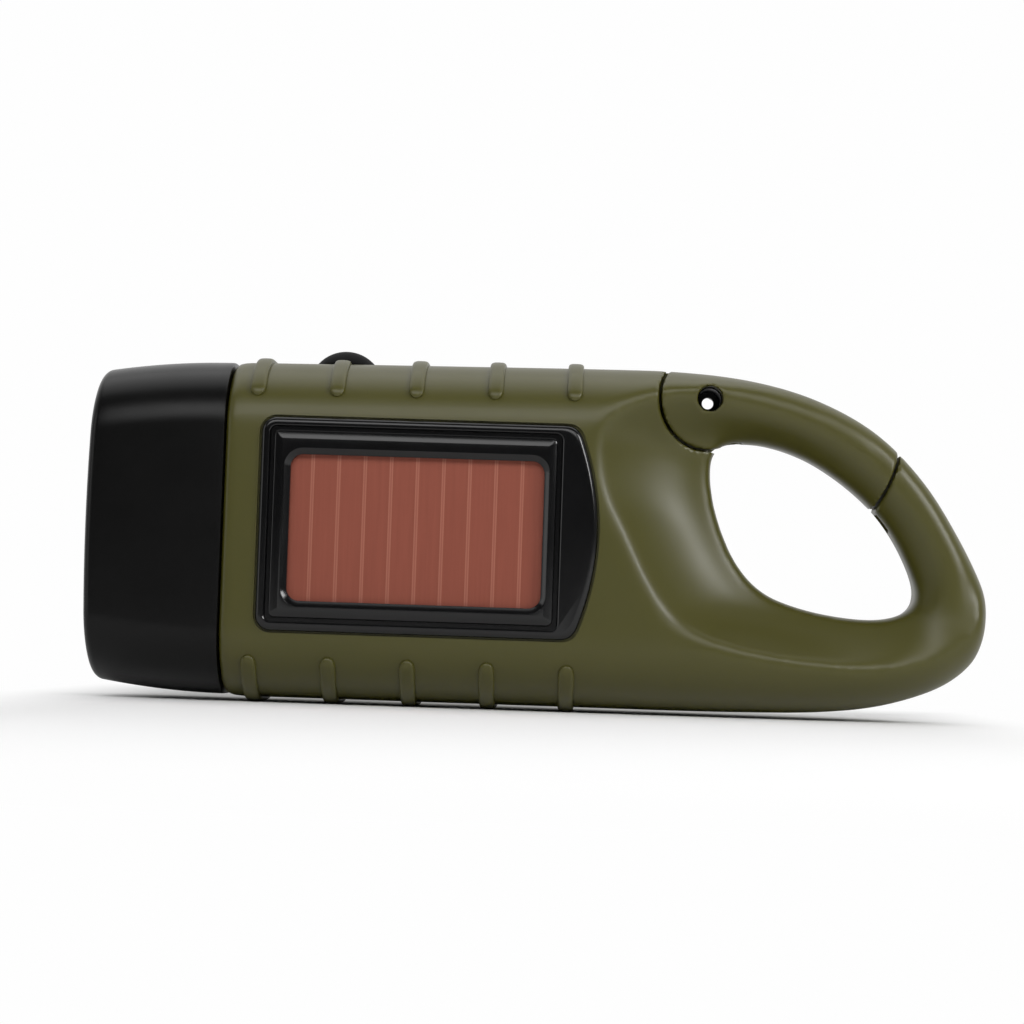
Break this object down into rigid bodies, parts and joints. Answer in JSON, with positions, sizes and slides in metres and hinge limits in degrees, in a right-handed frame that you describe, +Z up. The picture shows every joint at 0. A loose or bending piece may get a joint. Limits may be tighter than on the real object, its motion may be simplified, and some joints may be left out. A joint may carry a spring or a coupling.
{
  "type": "hand crank flashlight",
  "caption": "Pocket flashlight charged by a folding hand crank on one side and a solar panel on the other, with a sprung carabiner gate in its tail and a push button on top.",
  "frame": {"origin": "middle of the foot line on the surface that the part rests on, half way along and half way through its depth", "axes": "+X from the lamp to the carabiner tail, +Y from the solar side to the crank side, +Z up through the push button"},
  "size_m": [0.1378, 0.0422, 0.0548],
  "materials": {
    "olive_case": "satin moulded olive plastic",
    "black_case": "satin black plastic",
    "rubber": "matte",
    "clear_lens": "clear",
    "bright_reflector": "mirror",
    "solar_red": "smooth reddish cell with printed lines",
    "nylon": "satin",
    "brass": "turned",
    "copper": "enamelled wire",
    "circuit_board": "solder mask",
    "steel": "plated",
    "magnet": "sintered"
  },
  "bodies": {
    "root": {"solar_side_shell": "olive_case", "crank_side_shell": "olive_case", "shell_screw_1": "steel", "shell_screw_2": "steel", "shell_screw_3": "steel", "shell_screw_4": "steel", "shell_screw_5": "steel", "solar_frame": "black_case", "solar_cell": "solar_red", "gate_pin": "black_case", "gate_spring": "steel", "tact_switch": "black_case", "switch_board": "circuit_board", "head_bezel": "black_case", "front_lens": "clear_lens", "lens_gasket": "rubber", "reflector": "bright_reflector", "lamp_board": "circuit_board", "lamp_diode_1": "clear_lens", "lamp_diode_2": "clear_lens", "lamp_diode_3": "clear_lens", "first_axle": "steel", "second_axle": "steel", "gear_plate_outer": "nylon", "gear_plate_inner": "nylon", "plate_post_1": "nylon", "plate_post_2": "nylon", "plate_post_3": "nylon", "plate_post_4": "nylon", "stator_cup": "steel", "stator_coil": "copper", "main_board": "circuit_board", "coin_cell_1": "steel", "coin_cell_2": "steel", "cell_holder": "black_case", "capacitor": "black_case", "lamp_lead_1": "copper", "lamp_lead_2": "copper"},
    "gate": {"gate_lever": "olive_case"},
    "button": {"switch_button": "rubber", "switch_plunger": "nylon"},
    "crank": {"crank_arm": "black_case", "crank_shaft": "steel", "crank_screw": "steel", "crank_cap": "black_case", "knob_hinge_pin": "steel", "drive_gear": "nylon"},
    "knob_fork": {"knob_stem": "black_case"},
    "knob": {"crank_knob": "black_case"},
    "first_wheel": {"first_gear": "nylon"},
    "second_wheel": {"second_gear": "nylon"},
    "rotor": {"rotor_pinion": "brass", "rotor_shaft": "steel", "rotor_magnet": "magnet"}
  },
  "joints": [
    {"name": "crank_spin", "type": "hinge", "parent": "root", "child": "crank", "pos_m": [-0.008, -0.00347, 0.027], "axis": [0, 1, 0], "continuous": true},
    {"name": "knob_fold", "type": "hinge", "parent": "crank", "child": "knob_fork", "pos_m": [-0.04, 0.01748, 0.027], "axis": [0, 0, 1], "range_deg": [0, 90]},
    {"name": "knob_spin", "type": "hinge", "parent": "knob_fork", "child": "knob", "pos_m": [-0.037, 0.01748, 0.027], "axis": [1, 0, 0], "continuous": true},
    {"name": "first_spin", "type": "hinge", "parent": "root", "child": "first_wheel", "pos_m": [-0.02277, -0.00347, 0.0244], "axis": [0, 1, 0], "continuous": true},
    {"name": "second_spin", "type": "hinge", "parent": "root", "child": "second_wheel", "pos_m": [-0.03358, -0.00347, 0.01683], "axis": [0, 1, 0], "continuous": true},
    {"name": "rotor_spin", "type": "hinge", "parent": "root", "child": "rotor", "pos_m": [-0.03566, -0.00347, 0.02864], "axis": [0, 1, 0], "continuous": true},
    {"name": "gate_pivot", "type": "hinge", "parent": "root", "child": "gate", "pos_m": [0.02484, -0.00347, 0.04872], "axis": [0, 1, 0], "range_deg": [0, 22], "stiffness_Nm_per_rad": 0.05, "springref_deg": -20.05},
    {"name": "button_press", "type": "slide", "parent": "root", "child": "button", "axis": [0, 0, -1], "range_m": [0, 0.0012], "stiffness_N_per_m": 400, "springref_m": -0.0005}
  ],
  "couplings": [
    {"joint": "first_spin", "follows": "crank_spin", "ratio": -4},
    {"joint": "second_spin", "follows": "crank_spin", "ratio": 13.6},
    {"joint": "rotor_spin", "follows": "crank_spin", "ratio": -40.8}
  ]
}
